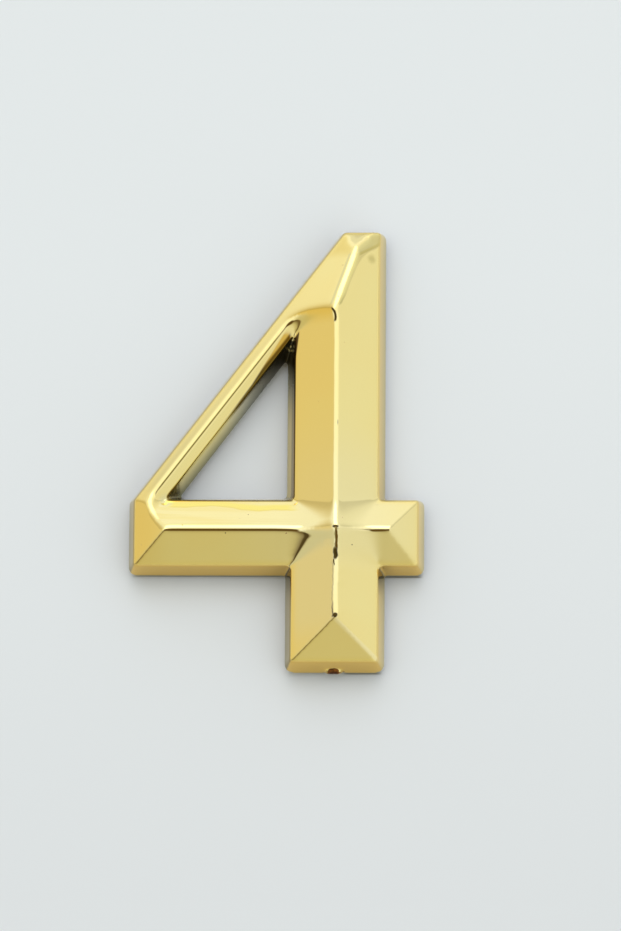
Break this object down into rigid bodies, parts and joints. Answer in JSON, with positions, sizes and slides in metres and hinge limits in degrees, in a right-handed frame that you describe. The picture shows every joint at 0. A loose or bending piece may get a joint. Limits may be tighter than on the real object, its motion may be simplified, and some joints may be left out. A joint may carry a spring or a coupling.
{
  "type": "adhesive door number",
  "caption": "Self-adhesive door number, the digit 4, in gold-plated moulded plastic with bevelled strokes and a foam adhesive pad behind.",
  "frame": {"origin": "middle of the digit's footprint, on the back face of the adhesive pad", "axes": "+X to the digit's right, +Y up the digit, +Z out of its face"},
  "size_m": [0.0328, 0.0503, 0.0075],
  "materials": {
    "gold_plated_plastic": "bright gold plating on moulded plastic, mirror smooth",
    "foam_adhesive": "matte closed-cell foam with a tacky film"
  },
  "bodies": {
    "root": {"number_moulding": "gold_plated_plastic", "adhesive_pad": "foam_adhesive"}
  },
  "joints": []
}
